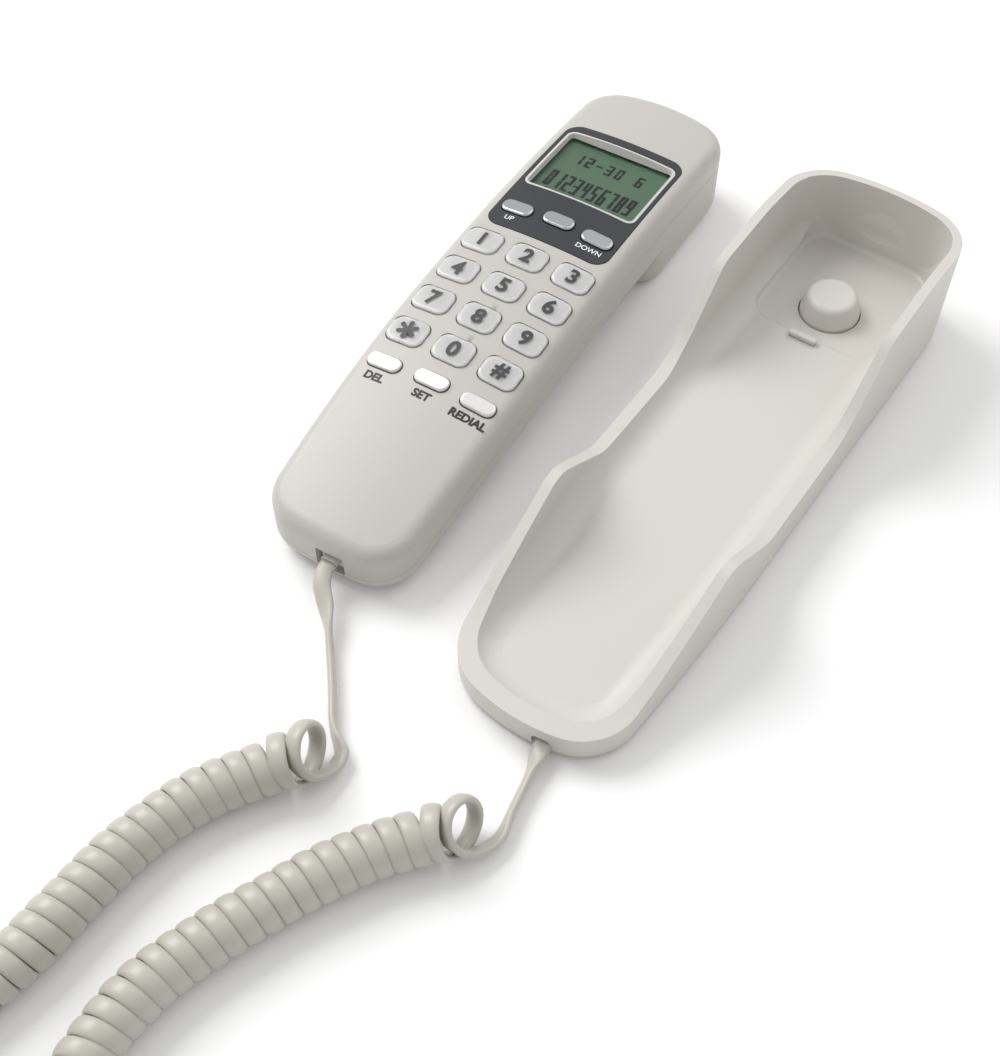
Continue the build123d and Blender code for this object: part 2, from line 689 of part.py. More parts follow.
with BuildPart() as handset_rear_cover:
    add(shell_body)
    add(seam_low, mode=Mode.INTERSECT)
    with BuildSketch(Plane.XY.offset(10.6)):
        for rest_v in (-40, -10, 20):
            with Locations((-20.6, rest_v), (20.6, rest_v)):
                Rectangle(1.4, 5)
    extrude(amount=BOARD_TOP - 1.6 - 0.1 - 10.6)
    with BuildSketch(Plane.XY.offset(SHELL - 0.2)):
        with Locations(*HANDSET_SCREWS[1:]):
            Circle(3.0)
            Circle(1.4, mode=Mode.SUBTRACT)
    extrude(amount=0.3)
    with BuildSketch(Plane.XY.offset(-1)):
        with Locations(*HANDSET_SCREWS):
            Circle(1.4)
    extrude(amount=12, mode=Mode.SUBTRACT)
    with BuildSketch(Plane.XY.offset(-1)):
        with Locations(*HANDSET_SCREWS[1:]):
            Circle(2.7)
    extrude(amount=2.35, mode=Mode.SUBTRACT)
    with BuildSketch(Plane.XY.offset(-1)):
        with Locations(HANDSET_SCREWS[0]):
            Circle(2.7)
    extrude(amount=8.2, mode=Mode.SUBTRACT)
    with BuildSketch(Plane.XY.offset(-1)):
        with Locations((0, SPEAKER_V)):
            Circle(0.9)
            with PolarLocations(4.2, 6):
                Circle(0.9)
            with PolarLocations(8.2, 12):
                Circle(0.9)
        with Locations((0, MIC_V)):
            with GridLocations(3.0, 1, 3, 1):
                Circle(0.7)
    extrude(amount=8, mode=Mode.SUBTRACT)
    with BuildSketch(Plane.XZ.offset(-FOOT_V + 4)):
        with Locations((HANDSET_JACK_U, HANDSET_JACK_Z + JACK_SIZE[2] / 2)):
            RectangleRounded(9.4, 7.4, 0.8)
    extrude(amount=-7.5, mode=Mode.SUBTRACT)
save_handset(handset_rear_cover, "handset_rear_cover")

long_screw = screw(2.4, 1.2, 1.0, 8.0)
with BuildPart() as handset_screws:
    for screw_u, screw_v in HANDSET_SCREWS[1:]:
        add(long_screw.moved(Location((screw_u, screw_v, 0.1))))
    add(long_screw.moved(Location((0, HANDSET_SCREWS[0][1], 5.95))))
save_handset(handset_screws, "handset_screws")

# ---------------------------------------------------------------- display
with BuildPart() as display_surround:
    add(panel_column(2 * PANEL_HALF, BAND_LENGTH, 5.0))
    add(crown_below(-0.12), mode=Mode.INTERSECT)
    add(crown_below(1.25), mode=Mode.SUBTRACT)
    with BuildSketch(screen_plane.offset(-6)):
        RectangleRounded(SCREEN_SIZE[0] + 3.2, SCREEN_SIZE[1] + 3.2, 3)
    extrude(amount=10, mode=Mode.SUBTRACT)
    add(button_holes(nav_buttons, NAV_SIZE, KEY_GAP, 2.4), mode=Mode.SUBTRACT)
save_handset(display_surround, "display_surround")

with BuildPart() as display_bezel:
    with BuildSketch(screen_plane.offset(-2.7)):
        RectangleRounded(SCREEN_SIZE[0] + 2.8, SCREEN_SIZE[1] + 2.8, 2.8)
    extrude(amount=4)
    add(crown_below(0), mode=Mode.INTERSECT)
    with BuildSketch(screen_plane.offset(-2.8)):
        RectangleRounded(SCREEN_SIZE[0], SCREEN_SIZE[1], 1.4)
    extrude(amount=5, taper=-17, mode=Mode.SUBTRACT)
save_handset(display_bezel, "display_bezel")

with BuildPart() as display_window:
    with BuildSketch(screen_plane.offset(-3.8)):
        RectangleRounded(SCREEN_SIZE[0] + 2.2, SCREEN_SIZE[1] + 2.2, 1.6)
    extrude(amount=1.0)
save_handset(display_window, "display_window")

with BuildPart() as lcd_module:
    with BuildSketch(screen_plane.offset(-6.6)):
        RectangleRounded(42, 34, 1)
    extrude(amount=2.5)
save_handset(lcd_module, "lcd_module")


# ---------------------------------------------------------------- keys and buttons
def button_body(size, radius, proud, soft):
    """Key cap with retaining lips fore and aft, drawn on the face's own plane."""
    with BuildPart() as body:
        with BuildSketch(Plane.XY.offset(-KEY_DEPTH)):
            RectangleRounded(size[0], size[1], radius)
        extrude(amount=KEY_DEPTH + proud)
        fillet(body.faces().sort_by(Axis.Z)[-1].edges(), radius=soft)
        with BuildSketch(Plane.XY.offset(-KEY_DEPTH)):
            RectangleRounded(size[0], size[1] + 1.6, radius)
        extrude(amount=0.7)
    return body.part


key_cap = button_body(KEY_SIZE, 3.0, KEY_PROUD, 0.9)
nav_cap = button_body(NAV_SIZE, 2.4, 1.0, 0.7)
function_cap = button_body(FUNCTION_SIZE, 2.4, 1.0, 0.7)
for group, cap in ((keys, key_cap), (nav_buttons, nav_cap), (function_buttons, function_cap)):
    for cap_name, cap_u, cap_v in group:
        with BuildPart() as button:
            add(cap.moved(face_plane(cap_u, cap_v).location))
        save_handset(button, cap_name)
        axis = handset_plane.location * face_plane(cap_u, cap_v).location
        normal = Plane(axis).z_dir
        print("BUTTON", cap_name, tuple(axis.position), tuple(normal))

MAT_DEPTH = 4.75
with BuildPart() as keypad_mat:
    with BuildSketch(Plane.XY.offset(12)):
        with Locations((0, -17.5)):
            RectangleRounded(42, 84, 3)
    extrude(amount=30)
    add(crown_below(MAT_DEPTH), mode=Mode.INTERSECT)
    add(crown_below(MAT_DEPTH + 1.1), mode=Mode.SUBTRACT)
    with BuildSketch(Plane.XY.offset(BOARD_TOP + 0.05)):
        for dome_name, dome_u, dome_v in keys + nav_buttons:
            with Locations((dome_u, dome_v)):
                Circle(2.2)
    extrude(amount=3.4)
save_handset(keypad_mat, "keypad_mat")

with BuildPart() as handset_board:
    with BuildSketch(Plane.XY.offset(BOARD_TOP - 1.6)):
        with Locations((0, 7)):
            Rectangle(43, 134)
    extrude(amount=1.6)
    with BuildSketch(Plane.XY.offset(BOARD_TOP - 4.0)):
        with Locations((-8, 48), (8, 10)):
            Rectangle(12, 12)
        with Locations((8, 52), (-10, -12)):
            Circle(3)
    extrude(amount=2.4)
save_handset(handset_board, "handset_board")

# ---------------------------------------------------------------- sound pieces, weight and jack
with BuildPart() as earpiece_gasket:
    with BuildSketch(Plane.XY.offset(SHELL + 0.05)):
        with Locations((0, SPEAKER_V)):
            Circle(15.5)
            Circle(12.0, mode=Mode.SUBTRACT)
    extrude(amount=0.8)
save_handset(earpiece_gasket, "earpiece_gasket")

with BuildPart() as earpiece_speaker:
    with BuildSketch(Plane.XY.offset(SHELL + 0.9)):
        with Locations((0, SPEAKER_V)):
            Circle(15.0)
    extrude(amount=3.0)
    with BuildSketch(Plane.XY.offset(SHELL + 3.9)):
        with Locations((0, SPEAKER_V)):
            Circle(8.0)
    extrude(amount=3.2)
    with BuildSketch(Plane.XY.offset(SHELL + 0.9)):
        with Locations((0, SPEAKER_V)):
            Circle(13.0)
    extrude(amount=1.6, taper=50, mode=Mode.SUBTRACT)
save_handset(earpiece_speaker, "earpiece_speaker")

with BuildPart() as microphone_boot:
    with BuildSketch(Plane.XY.offset(7.0)):
        with Locations((0, MIC_V)):
            Circle(5.9)
            Circle(4.9, mode=Mode.SUBTRACT)
    extrude(amount=5.0)
save_handset(microphone_boot, "microphone_boot")

with BuildPart() as microphone:
    with BuildSketch(Plane.XY.offset(7.0)):
        with Locations((0, MIC_V)):
            Circle(4.85)
    extrude(amount=4.4)
    with BuildSketch(Plane.XY.offset(7.0)):
        with Locations((0, MIC_V)):
            Circle(1.0)
    extrude(amount=0.5, mode=Mode.SUBTRACT)
save_handset(microphone, "microphone")

with BuildPart() as handset_weight:
    with BuildSketch(Plane.XY.offset(12.9)):
        with Locations((0, -38)):
            RectangleRounded(30, 36, 2)
    extrude(amount=3.0)
save_handset(handset_weight, "handset_weight")

JACK_DEPTH = 12.6
with BuildPart() as handset_jack:
    socket = modular_jack(JACK_SIZE[0], JACK_DEPTH, JACK_SIZE[2], JACK_OPENING, 11.8)
    add(socket.moved(Location((HANDSET_JACK_U, FOOT_V + SHELL + 0.25, HANDSET_JACK_Z))))
save_handset(handset_jack, "handset_jack")

HANDSET_PLUG_V = FOOT_V + SHELL - 0.3
PLUG_NECK_V = FOOT_V - 0.5
HANDSET_PLUG_Z = HANDSET_JACK_Z + JACK_SIZE[2] / 2 + 0.2
with BuildPart() as handset_plug:
    plug = modular_plug(HANDSET_PLUG_V - PLUG_NECK_V)
    add(plug.moved(Location((HANDSET_JACK_U, HANDSET_PLUG_V, HANDSET_PLUG_Z))))
save_handset(handset_plug, "handset_plug")


# ================================================================ cord
def cord_tube(points, radius, largest=None):
    """Tube along straight runs joined by arcs as wide as the runs allow; prints the radii."""
    route = [Vector(*point) for point in points]
    bends = []
    for before, corner, after in zip(route, route[1:], route[2:]):
        turn = radians((corner - before).get_angle(after - corner))
        shorter = min((corner - before).length, (after - corner).length)
        bend = 0.45 * shorter / tan(turn / 2)
        bends.append(min(bend, largest) if largest else bend)
    with BuildPart() as tube:
        with BuildLine() as path:
            FilletPolyline(*route, radius=bends)
        with BuildSketch(Plane(path.line @ 0, z_dir=path.line % 0)):
            Circle(radius)
        sweep(path=path.line)
    runs = [round((b - a).length, 1) for a, b in zip(route, route[1:])]
    print("cord runs", runs)
    print("cord radii in diameters", [round(bend / (2 * radius), 1) for bend in bends])
    length = path.wires()[0].length
    print("length", length, "volume ratio", tube.part.volume / (pi * radius**2 * length))
    return tube


plug_back = handset_plane.from_local_coords((HANDSET_JACK_U, PLUG_NECK_V - 0.3, HANDSET_PLUG_Z))
LEAD_Z = LEAD_RADIUS + 0.15
handset_lead = cord_tube(
    [
        tuple(plug_back),
        tuple(plug_back - handset_plane.y_dir * 3.2),
        (-66.4, -101.5, 7.2),
        (-62.0, -106.5, 3.6),
        (-55.6, -113.6, LEAD_Z),
        (-47.6, -123.4, LEAD_Z),
        (-40.8, -132.4, LEAD_Z),
        (-36.0, -140.6, LEAD_Z + 0.4),
    ],
    LEAD_RADIUS,
)
save(handset_lead, "handset_lead")

base_lead = cord_tube(
    [
        (CORD_EXIT_X, CORD_JACK_Y[0] - 0.45, 4.2),
        (CORD_EXIT_X + 0.3, -62.0, 4.2),
        (CORD_EXIT_X + 0.2, -98.0, 4.2),
        (CORD_EXIT_X + 1.2, -108.5, 3.2),
        (CORD_EXIT_X + 3.2, -117.5, LEAD_Z),
        (CORD_EXIT_X + 4.6, -128.0, LEAD_Z),
        (CORD_EXIT_X + 2.6, -138.6, LEAD_Z + 0.4),
    ],
    LEAD_RADIUS,
)
save(base_lead, "base_lead")

curly_cord = cord_tube(
    [
        (-36.6, -141.6, COIL_HEIGHT),
        (-47.0, -156.2, COIL_HEIGHT),
        (-54.6, -171.4, COIL_HEIGHT),
        (-58.6, -188.5, COIL_HEIGHT),
        (-59.4, -206.5, COIL_HEIGHT),
        (-59.8, -226.0, COIL_HEIGHT),
        (-63.5, -246.0, COIL_HEIGHT),
        (-74.0, -267.0, COIL_HEIGHT),
        (-88.0, -289.0, COIL_HEIGHT),
        (-99.0, -317.0, COIL_HEIGHT),
        (-93.0, -345.0, COIL_HEIGHT),
        (-73.0, -367.0, COIL_HEIGHT),
        (-45.0, -375.0, COIL_HEIGHT),
        (-17.0, -367.0, COIL_HEIGHT),
        (3.0, -345.0, COIL_HEIGHT),
        (9.0, -317.0, COIL_HEIGHT),
        (-2.0, -289.0, COIL_HEIGHT),
        (-16.0, -267.0, COIL_HEIGHT),
        (-26.5, -247.5, COIL_HEIGHT),
        (-31.0, -230.0, COIL_HEIGHT),
        (-31.0, -213.5, COIL_HEIGHT),
        (-27.0, -197.8, COIL_HEIGHT),
        (-20.8, -181.6, COIL_HEIGHT),
        (-13.3, -164.7, COIL_HEIGHT),
        (-4.0, -149.2, COIL_HEIGHT),
        (5.2, -139.0, COIL_HEIGHT),
    ],
    COIL_RADIUS,
)
save(curly_cord, "curly_cord")
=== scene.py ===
"""Looks of the corded phone: camera, soft studio light, materials, printed legends and the cord.

Metres, in the part's own frame. The handset's plane is repeated from the part: U to its right,
V to its head, with its origin on the desk under the "2" key.
"""

from math import cos, pi, radians, sin, sqrt

import bpy
from mathutils import Matrix, Vector


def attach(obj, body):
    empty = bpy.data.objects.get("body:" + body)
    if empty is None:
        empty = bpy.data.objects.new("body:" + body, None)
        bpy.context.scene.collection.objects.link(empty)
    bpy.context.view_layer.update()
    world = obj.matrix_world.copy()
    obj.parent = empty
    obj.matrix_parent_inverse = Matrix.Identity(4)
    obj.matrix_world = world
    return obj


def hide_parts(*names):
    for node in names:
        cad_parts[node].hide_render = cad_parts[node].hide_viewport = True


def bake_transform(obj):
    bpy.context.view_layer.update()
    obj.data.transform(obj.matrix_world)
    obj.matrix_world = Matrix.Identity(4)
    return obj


MM = 0.001

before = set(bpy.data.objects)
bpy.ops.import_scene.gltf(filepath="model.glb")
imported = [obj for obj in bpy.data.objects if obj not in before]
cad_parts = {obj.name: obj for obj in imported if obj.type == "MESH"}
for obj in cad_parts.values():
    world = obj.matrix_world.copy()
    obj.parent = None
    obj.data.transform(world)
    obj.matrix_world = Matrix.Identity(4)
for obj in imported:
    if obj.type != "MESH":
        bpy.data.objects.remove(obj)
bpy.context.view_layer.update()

# ---------------------------------------------------------------- camera
CAMERA_PLACE = (0.1066, -0.2632, 0.3522)
LOOK_DOWN = radians(53.73)
LOOK_TURN = radians(35.0)
LENS = 51.0

camera_data = bpy.data.cameras.new("camera")
camera_data.lens = LENS
camera_data.sensor_width = 36.0
camera_data.clip_start = 0.01
camera = bpy.data.objects.new("camera", camera_data)
bpy.context.scene.collection.objects.link(camera)
camera.location = CAMERA_PLACE
level_look = Vector((-sin(LOOK_TURN), cos(LOOK_TURN), 0))
look = level_look * cos(LOOK_DOWN) - Vector((0, 0, sin(LOOK_DOWN)))
camera.rotation_euler = look.to_track_quat("-Z", "Y").to_euler()
bpy.context.scene.camera = camera


# ---------------------------------------------------------------- helpers
def link(thing):
    """Put a new object in the scene."""
    bpy.context.scene.collection.objects.link(thing)
    return thing


def mesh_object(name, vertices, faces, material, smooth=True):
    """Object from plain vertices and faces."""
    mesh = bpy.data.meshes.new(name)
    mesh.from_pydata([tuple(v) for v in vertices], [], faces)
    mesh.validate()
    mesh.polygons.foreach_set("use_smooth", [smooth] * len(mesh.polygons))
    mesh.materials.append(material)
    return link(bpy.data.objects.new(name, mesh))


# ---------------------------------------------------------------- materials
def new_material(name):
    """New node material and its shader."""
    material = bpy.data.materials.new(name)
    material.use_nodes = True
    return material, material.node_tree.nodes["Principled BSDF"]


def plastic(name, colour, roughness, coat=0.0, grain=0.0):
    """Moulded plastic with faint unevenness in its gloss and, where asked, a fine grain."""
    material, shader = new_material(name)
    tree = material.node_tree
    shader.inputs["Base Color"].default_value = (*colour, 1)
    shader.inputs["Roughness"].default_value = roughness
    shader.inputs["Coat Weight"].default_value = coat
    shader.inputs["Coat Roughness"].default_value = 0.12
    shader.inputs["IOR"].default_value = 1.49
    coordinates = tree.nodes.new("ShaderNodeTexCoord")
    cloud = tree.nodes.new("ShaderNodeTexNoise")
    cloud.inputs["Scale"].default_value = 60.0
    cloud.inputs["Detail"].default_value = 3.0
    tree.links.new(coordinates.outputs["Object"], cloud.inputs["Vector"])
    spread = tree.nodes.new("ShaderNodeMapRange")
    spread.inputs["To Min"].default_value = roughness - 0.03
    spread.inputs["To Max"].default_value = roughness + 0.03
    tree.links.new(cloud.outputs["Fac"], spread.inputs["Value"])
    tree.links.new(spread.outputs["Result"], shader.inputs["Roughness"])
    if grain:
        speckle = tree.nodes.new("ShaderNodeTexNoise")
        speckle.inputs["Scale"].default_value = 1800.0
        speckle.inputs["Detail"].default_value = 2.0
        tree.links.new(coordinates.outputs["Object"], speckle.inputs["Vector"])
        bump = tree.nodes.new("ShaderNodeBump")
        bump.inputs["Strength"].default_value = grain
        bump.inputs["Distance"].default_value = 0.0001
        tree.links.new(speckle.outputs["Fac"], bump.inputs["Height"])
        tree.links.new(bump.outputs["Normal"], shader.inputs["Normal"])
    return material


def metal(name, colour, roughness):
    """Plated or brushed metal."""
    material, shader = new_material(name)
    shader.inputs["Base Color"].default_value = (*colour, 1)
    shader.inputs["Metallic"].default_value = 1.0
    shader.inputs["Roughness"].default_value = roughness
    return material


def clear(name, colour, roughness, refraction=1.49):
    """Clear plastic or glass."""
    material, shader = new_material(name)
    shader.inputs["Base Color"].default_value = (*colour, 1)
    shader.inputs["Roughness"].default_value = roughness
    shader.inputs["Transmission Weight"].default_value = 1.0
    shader.inputs["IOR"].default_value = refraction
    return material


housing = plastic("housing", (0.60, 0.58, 0.54), 0.4, grain=0.05)
# The handset's covers are the same plastic as the cradle's housing, given a darker colour here:
# painted shade that tones down the handset's brighter-lit face.
handset_housing_painted_shade = plastic("handset_housing_painted_shade", (0.49, 0.475, 0.445), 0.42, grain=0.05)
key_clear = clear("key_clear", (0.98, 0.98, 0.98), 0.05)
key_white = plastic("key_white", (0.93, 0.93, 0.92), 0.35)
pearl = metal("pearl", (0.80, 0.79, 0.77), 0.3)
silver = metal("silver", (0.56, 0.57, 0.58), 0.25)
panel = plastic("panel", (0.031, 0.033, 0.038), 0.35)
bezel_white = plastic("bezel_white", (0.56, 0.56, 0.54), 0.4)
window_clear = clear("window_clear", (0.96, 0.98, 0.96), 0.0, refraction=1.2)
lcd = plastic("lcd", (0.095, 0.175, 0.105), 0.4)
ink_dark = plastic("ink_dark", (0.012, 0.012, 0.013), 0.5)
ink_key = plastic("ink_key", (0.045, 0.045, 0.05), 0.45)
ink_white = plastic("ink_white", (0.82, 0.82, 0.80), 0.45)
segments_ink = plastic("segments_ink", (0.004, 0.006, 0.004), 0.6)
silicone = plastic("silicone", (0.55, 0.55, 0.53), 0.55)
board_green = plastic("board_green", (0.03, 0.14, 0.05), 0.4, coat=0.3)
foam_black = plastic("foam_black", (0.02, 0.02, 0.02), 0.9)
dark_metal = metal("dark_metal", (0.25, 0.25, 0.26), 0.4)
steel = metal("steel", (0.62, 0.62, 0.60), 0.32)
black_moulded = plastic("black_moulded", (0.02, 0.02, 0.02), 0.4)
plug_clear = clear("plug_clear", (0.92, 0.94, 0.95), 0.05)
foot_rubber = plastic("foot_rubber", (0.05, 0.05, 0.05), 0.7)
vinyl = plastic("vinyl", (0.49, 0.47, 0.415), 0.36)

looks = {
    "cradle_shell": housing,
    "base_plate": housing,
    "handset_front_cover": handset_housing_painted_shade,
    "handset_rear_cover": handset_housing_painted_shade,
    "hook_plunger": housing,
    "retaining_tab": housing,
    "display_surround": panel,
    "display_bezel": bezel_white,
    "display_window": window_clear,
    "lcd_module": lcd,
    "keypad_mat": silicone,
    "microphone_boot": silicone,
    "handset_board": board_green,
    "base_board": board_green,
    "earpiece_gasket": foam_black,
    "earpiece_speaker": dark_metal,
    "microphone": dark_metal,
    "ringer": dark_metal,
    "handset_weight": steel,
    "ballast_weight": steel,
    "handset_screws": steel,
    "base_screws": steel,
    "hook_spring": steel,
    "line_jack": black_moulded,
    "cradle_jack": black_moulded,
    "handset_jack": silicone,
    "hook_switch": black_moulded,
    "handset_plug": silicone,
    "cradle_plug": plug_clear,
    "rubber_feet": foot_rubber,
    "centre_pad": foot_rubber,
    "handset_lead": vinyl,
    "base_lead": vinyl,
    "curly_cord": vinyl,
}
for node_name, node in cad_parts.items():
    if node_name.startswith("key_"):
        look_material = key_clear
    elif node_name in ("button_up", "button_flash", "button_down"):
        look_material = silver
    elif node_name.startswith("button_"):
        look_material = pearl
    else:
        look_material = looks[node_name]
    node.data.materials.clear()
    node.data.materials.append(look_material)

# ---------------------------------------------------------------- cord
CORD_WIDTH = 5.2 * MM
CORD_THICK = 2.3 * MM
COIL_MEAN = 6.0 * MM
COIL_PITCH = 5.1 * MM
LIE = 0.12 * MM
LEAD_LIE = 2.6
STEPS = 26
SLUMPED_TURNS = 2.6
END_TURN_GROWTH = 1.7 * MM
END_TURN_PULL = 3.6 * MM
HANDSET_END_SWING = radians(46)
HANDSET_END_DIP = radians(31)
CRADLE_END_SWING = radians(54)
CRADLE_END_DIP = radians(40)

coil_points = [
    (-37.2, -143.6),
    (-47.0, -156.8),
    (-54.6, -171.4),
    (-58.6, -188.5),
    (-59.4, -206.5),
    (-59.8, -226.0),
    (-63.5, -246.0),
    (-74.0, -267.0),
    (-88.0, -289.0),
    (-99.0, -317.0),
    (-93.0, -345.0),
    (-73.0, -367.0),
    (-45.0, -375.0),
    (-17.0, -367.0),
    (3.0, -345.0),
    (9.0, -317.0),
    (-2.0, -289.0),
    (-16.0, -267.0),
    (-26.5, -247.5),
    (-31.0, -230.0),
    (-31.0, -213.5),
    (-27.0, -197.8),
    (-20.8, -181.6),
    (-13.3, -164.7),
    (-4.0, -149.2),
    (7.2, -137.6),
]


def spline_line(name, points):
    """Points along the NURBS curve through a given route, in metres."""
    curve = bpy.data.curves.new(name, "CURVE")
    curve.dimensions = "3D"
    curve.resolution_u = 24
    spline = curve.splines.new("NURBS")
    spline.points.add(len(points) - 1)
    for point, place in zip(spline.points, points):
        height = place[2] if len(place) > 2 else 0.0
        point.co = (place[0] * MM, place[1] * MM, height * MM, 1.0)
    spline.order_u = 3
    spline.use_endpoint_u = True
    holder = link(bpy.data.objects.new(name, curve))
    bpy.context.view_layer.update()
    graph = bpy.context.evaluated_depsgraph_get()
    mesh = bpy.data.meshes.new_from_object(holder.evaluated_get(graph))
    line = [vertex.co.copy() for vertex in mesh.vertices]
    bpy.data.objects.remove(holder)
    bpy.data.meshes.remove(mesh)
    return line


def evenly(line, spacing):
    """The same line with points at an even spacing."""
    distances = [0.0]
    for a, b in zip(line, line[1:]):
        distances.append(distances[-1] + (b - a).length)
    count = max(2, int(round(distances[-1] / spacing)))
    even = []
    index = 0
    for step in range(count + 1):
        target = distances[-1] * step / count
        while index < len(distances) - 2 and distances[index + 1] < target:
            index += 1
        span = distances[index + 1] - distances[index]
        share = (target - distances[index]) / span if span else 0.0
        even.append(line[index].lerp(line[index + 1], share))
    return even, distances[-1]


def ease(share):
    """Smooth step from 0 to 1."""
    share = min(1.0, max(0.0, share))
    return share * share * (3 - 2 * share)


up = Vector((0, 0, 1))


def lean(into, swing, dip):
    """Axis of a slumped end turn: swung clockwise seen from above, and dipped into the coil."""
    level = Matrix.Rotation(-swing, 3, "Z") @ into
    return level * cos(dip) - up * sin(dip)


centre_line, coil_length = evenly(spline_line("coil_route", coil_points), COIL_PITCH / STEPS)
turns = round(coil_length / COIL_PITCH)
coil_path = []
coil_flat = []
for index, centre in enumerate(centre_line):
    share = index / (len(centre_line) - 1)
    ahead = centre_line[min(index + 4, len(centre_line) - 1)]
    behind = centre_line[max(index - 4, 0)]
    along = (ahead - behind).normalized()
    turn = 2 * pi * turns * share
    from_handset = ease(1 - share * turns / SLUMPED_TURNS)
    from_cradle = ease(1 - (1 - share) * turns / SLUMPED_TURNS)
    slump = from_handset + from_cradle
    axis = lean(along, HANDSET_END_SWING * from_handset, HANDSET_END_DIP * from_handset)
    axis = -lean(-axis, CRADLE_END_SWING * from_cradle, CRADLE_END_DIP * from_cradle)
    side = up.cross(axis).normalized()
    rise = axis.cross(side)
    radius = COIL_MEAN + END_TURN_GROWTH * slump
    # the turns differ slightly in size along the coil
    radius += 0.10 * MM * sin(share * 61) + 0.08 * MM * sin(share * 143)
    edge = CORD_WIDTH / 2 * abs(axis.z)
    height = (radius + CORD_THICK / 2) * rise.z + edge + LIE
    pulled = along * (from_cradle - from_handset) * END_TURN_PULL
    middle = Vector((centre.x, centre.y, height)) + pulled
    coil_path.append(middle + side * radius * sin(turn) - rise * radius * cos(turn))
    coil_flat.append(axis)


def out_from_coil(index, distance):
    """Point straight out from an end of the coil, in millimetres."""
    inner = 1 if index == 0 else -2
    outward = (coil_path[index] - coil_path[inner]).normalized()
    place = coil_path[index] + outward * distance * MM
    return (place.x / MM, place.y / MM, max(place.z / MM, LEAD_LIE))


handset_lead_points = [
    (-69.9, -94.6, 9.2),
    (-69.4, -99.5, 8.6),
    (-62.8, -104.8, 5.6),
    (-56.0, -112.2, 3.2),
    (-46.4, -123.0, LEAD_LIE),
    (-39.0, -132.4, LEAD_LIE),
    out_from_coil(0, 3.2),
    out_from_coil(0, 0.5),
]
base_lead_points = [
    out_from_coil(-1, 0.5),
    out_from_coil(-1, 3.2),
    (13.4, -126.0, LEAD_LIE),
    (11.6, -115.6, LEAD_LIE),
    (9.8, -107.6, 3.8),
    (8.7, -98.0, 4.2),
    (8.8, -62.0, 4.2),
    (8.5, -30.6, 4.2),
]
LEAD_STEP = 0.7 * MM
start_line = evenly(spline_line("handset_lead_route", handset_lead_points), LEAD_STEP)[0]
end_line = evenly(spline_line("base_lead_route", base_lead_points), LEAD_STEP)[0]


def twisted(line, stops):
    """Direction of the flat cord's width along a lead, eased between (share, direction) stops."""
    widths = []
    for index in range(len(line)):
        share = index / (len(line) - 1)
        place = 0
        while place < len(stops) - 2 and stops[place + 1][0] < share:
            place += 1
        low, first = stops[place]
        high, second = stops[place + 1]
        if first.dot(second) < 0:
            second = -second
        widths.append(first.lerp(second, ease((share - low) / (high - low))).normalized())
    return widths


on_edge = Vector((0.34, -0.42, 0.84)).normalized()
level_handset = Vector((1, 0.06, 0)).normalized()
level_cradle = Vector((1, 0, 0))
start_stops = [(0, level_handset), (0.12, level_handset), (0.4, on_edge), (0.75, on_edge)]
end_stops = [(0.1, on_edge), (0.2, on_edge), (0.3, level_cradle), (1, level_cradle)]
start_sides = twisted(start_line, start_stops + [(1, coil_flat[0])])
end_sides = twisted(end_line, [(0, coil_flat[-1])] + end_stops)
path = start_line[:-2] + coil_path + end_line[2:]
sides = start_sides[:-2] + coil_flat + end_sides[2:]
for index in range(1, len(sides)):
    if sides[index].dot(sides[index - 1]) < 0:
        sides[index] = -sides[index]
# Where a lead runs into the coil, the path is averaged over a window that tapers off.
BLEND_STEPS = 15
BLEND_TAPER = 4
smooth_path = []
smooth_sides = []
joints_at = (len(start_line) - 2, len(start_line) - 2 + len(coil_path))
for index in range(len(path)):
    near = min(abs(index - place) for place in joints_at)
    reach = min(max(0, (BLEND_STEPS - near) // BLEND_TAPER), index, len(path) - 1 - index)
    group = path[index - reach : index + reach + 1]
    smooth_path.append(sum(group, Vector()) / len(group))
    group = sides[index - reach : index + reach + 1]
    smooth_sides.append(sum(group, Vector()).normalized())

RING = 14
cord_vertices = []
cord_faces = []
for index, place in enumerate(smooth_path):
    ahead = smooth_path[min(index + 1, len(smooth_path) - 1)]
    behind = smooth_path[max(index - 1, 0)]
    tangent = (ahead - behind).normalized()
    wide = (smooth_sides[index] - tangent * smooth_sides[index].dot(tangent)).normalized()
    thin = tangent.cross(wide)
    for step in range(RING):
        angle = 2 * pi * step / RING
        reach_wide = abs(cos(angle)) ** 0.8 * (1 if cos(angle) >= 0 else -1)
        reach_thin = abs(sin(angle)) ** 0.9 * (1 if sin(angle) >= 0 else -1)
        offset = wide * (reach_wide * CORD_WIDTH / 2) + thin * (reach_thin * CORD_THICK / 2)
        cord_vertices.append(place + offset)
for index in range(len(smooth_path) - 1):
    for step in range(RING):
        after = (step + 1) % RING
        low = index * RING
        high = low + RING
        cord_faces.append((low + step, low + after, high + after, high + step))
cord_faces.append(tuple(reversed(range(RING))))
cord_faces.append(tuple(range(len(cord_vertices) - RING, len(cord_vertices))))
cord = mesh_object("cord", cord_vertices, cord_faces, vinyl)
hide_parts("handset_lead", "curly_cord", "base_lead")
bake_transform(cord)

